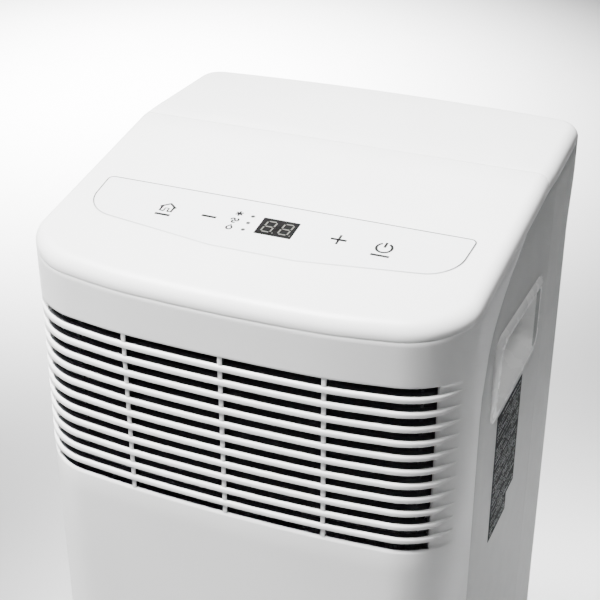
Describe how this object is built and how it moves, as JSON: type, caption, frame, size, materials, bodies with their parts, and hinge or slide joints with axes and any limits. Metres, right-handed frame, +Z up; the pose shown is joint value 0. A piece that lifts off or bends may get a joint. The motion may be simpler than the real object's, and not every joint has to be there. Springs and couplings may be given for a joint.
{
  "type": "portable air conditioner and dehumidifier",
  "caption": "Floor-standing air conditioner and dehumidifier on casters, with a sloping key panel, slatted front outlet, side handles, rear filter and round exhaust port.",
  "frame": {"origin": "on the floor under the middle of the overall box", "axes": "+X to the right seen from the front, -Y towards the front, +Z up"},
  "size_m": [0.305, 0.3106, 0.63],
  "materials": {
    "shell": "semi-gloss moulded ABS",
    "lid": "semi-gloss moulded ABS",
    "handle": "semi-gloss moulded ABS",
    "film": "satin printed polyester film",
    "window": "smoked acrylic",
    "led_lens": "clear resin",
    "key": "moulded plastic",
    "pcb": "solder-masked fibreglass",
    "guard": "dark moulded plastic",
    "label": "printed foil sticker",
    "screw": "zinc plated",
    "pan": "black moulded plastic",
    "tray": "moulded polystyrene",
    "scroll": "dark moulded foam",
    "mesh": "woven nylon mesh",
    "coil": "aluminium fins",
    "copper": "drawn copper tube",
    "wheel_fan": "grey moulded plastic",
    "motor": "pressed steel",
    "steel": "ground steel",
    "compressor": "black enamel",
    "rubber": "matt rubber",
    "box": "galvanised sheet",
    "capacitor": "aluminium can",
    "float": "moulded plastic",
    "fork": "black nylon",
    "tyre": "dark grey nylon",
    "plug": "dark grey rubber"
  },
  "bodies": {
    "cabinet": {"front_panel": "shell", "side_panel_right": "shell", "side_panel_left": "shell", "rear_housing": "shell", "control_lid": "lid", "rear_top_cap": "lid", "base_pan": "pan", "divider_tray": "tray", "outlet_guard": "guard", "handle_cup_right": "handle", "handle_cup_left": "handle", "rating_label": "label", "housing_screws": "screw", "control_overlay": "film", "display_window": "window", "led_cool": "led_lens", "led_fan": "led_lens", "led_dry": "led_lens", "control_board": "pcb", "lower_intake_grille": "shell", "exhaust_collar": "shell", "cord_gland": "plug", "evaporator_coil": "coil", "upper_scroll": "scroll", "upper_motor": "motor", "condenser_coil": "coil", "lower_scroll": "scroll", "lower_motor": "motor", "compressor": "compressor", "compressor_grommets": "rubber", "accumulator": "compressor", "discharge_pipe": "copper", "suction_pipe": "copper", "capillary_tube": "copper", "electrical_box": "box", "run_capacitor": "capacitor", "float_stem": "float", "splash_motor": "motor"},
    "upper_blower": {"upper_blower_wheel": "wheel_fan", "upper_motor_shaft": "steel"},
    "lower_blower": {"lower_blower_wheel": "wheel_fan", "lower_motor_shaft": "steel"},
    "splasher": {"splash_wheel": "float"},
    "float": {"float_ring": "float"},
    "filter": {"filter_frame": "shell", "filter_mesh": "mesh"},
    "plug_lower": {"drain_plug_lower": "plug"},
    "plug_upper": {"drain_plug_upper": "plug"},
    "mode_key": {"key_mode": "key"},
    "minus_key": {"key_minus": "key"},
    "plus_key": {"key_plus": "key"},
    "power_key": {"key_power": "key"},
    "fork_front_left": {"caster_fork_front_left": "fork"},
    "wheel_front_left": {"caster_wheel_front_left": "tyre"},
    "fork_front_right": {"caster_fork_front_right": "fork"},
    "wheel_front_right": {"caster_wheel_front_right": "tyre"},
    "fork_rear_left": {"caster_fork_rear_left": "fork"},
    "wheel_rear_left": {"caster_wheel_rear_left": "tyre"},
    "fork_rear_right": {"caster_fork_rear_right": "fork"},
    "wheel_rear_right": {"caster_wheel_rear_right": "tyre"}
  },
  "joints": [
    {"name": "upper_blower_spin", "type": "hinge", "parent": "cabinet", "child": "upper_blower", "pos_m": [0, 0.0449, 0.43], "axis": [0, 1, 0], "continuous": true},
    {"name": "lower_blower_spin", "type": "hinge", "parent": "cabinet", "child": "lower_blower", "pos_m": [0, 0.0399, 0.15], "axis": [0, 1, 0], "continuous": true},
    {"name": "splash_spin", "type": "hinge", "parent": "cabinet", "child": "splasher", "pos_m": [0.114, 0.055, 0.066], "axis": [0, 1, 0], "continuous": true},
    {"name": "float_rise", "type": "slide", "parent": "cabinet", "child": "float", "axis": [0, 0, 1], "range_m": [0, 0.012]},
    {"name": "filter_pull", "type": "slide", "parent": "cabinet", "child": "filter", "axis": [0, 1, 0], "range_m": [0, 0.06]},
    {"name": "plug_lower_pull", "type": "slide", "parent": "cabinet", "child": "plug_lower", "axis": [0, 1, 0], "range_m": [0, 0.02]},
    {"name": "plug_upper_pull", "type": "slide", "parent": "cabinet", "child": "plug_upper", "axis": [0, 1, 0], "range_m": [0, 0.02]},
    {"name": "mode_key_press", "type": "slide", "parent": "cabinet", "child": "mode_key", "axis": [0, 0.1298, -0.9915], "range_m": [0, 0.0005], "stiffness_N_per_m": 600},
    {"name": "minus_key_press", "type": "slide", "parent": "cabinet", "child": "minus_key", "axis": [0, 0.1298, -0.9915], "range_m": [0, 0.0005], "stiffness_N_per_m": 600},
    {"name": "plus_key_press", "type": "slide", "parent": "cabinet", "child": "plus_key", "axis": [0, 0.1298, -0.9915], "range_m": [0, 0.0005], "stiffness_N_per_m": 600},
    {"name": "power_key_press", "type": "slide", "parent": "cabinet", "child": "power_key", "axis": [0, 0.1298, -0.9915], "range_m": [0, 0.0005], "stiffness_N_per_m": 600},
    {"name": "swivel_front_left", "type": "hinge", "parent": "cabinet", "child": "fork_front_left", "pos_m": [-0.112, -0.098, 0.034], "axis": [0, 0, 1], "continuous": true},
    {"name": "roll_front_left", "type": "hinge", "parent": "fork_front_left", "child": "wheel_front_left", "pos_m": [-0.112, -0.089, 0.016], "axis": [1, 0, 0], "continuous": true},
    {"name": "swivel_front_right", "type": "hinge", "parent": "cabinet", "child": "fork_front_right", "pos_m": [0.112, -0.098, 0.034], "axis": [0, 0, 1], "continuous": true},
    {"name": "roll_front_right", "type": "hinge", "parent": "fork_front_right", "child": "wheel_front_right", "pos_m": [0.112, -0.089, 0.016], "axis": [1, 0, 0], "continuous": true},
    {"name": "swivel_rear_left", "type": "hinge", "parent": "cabinet", "child": "fork_rear_left", "pos_m": [-0.112, 0.108, 0.034], "axis": [0, 0, 1], "continuous": true},
    {"name": "roll_rear_left", "type": "hinge", "parent": "fork_rear_left", "child": "wheel_rear_left", "pos_m": [-0.112, 0.117, 0.016], "axis": [1, 0, 0], "continuous": true},
    {"name": "swivel_rear_right", "type": "hinge", "parent": "cabinet", "child": "fork_rear_right", "pos_m": [0.112, 0.108, 0.034], "axis": [0, 0, 1], "continuous": true},
    {"name": "roll_rear_right", "type": "hinge", "parent": "fork_rear_right", "child": "wheel_rear_right", "pos_m": [0.112, 0.117, 0.016], "axis": [1, 0, 0], "continuous": true}
  ]
}
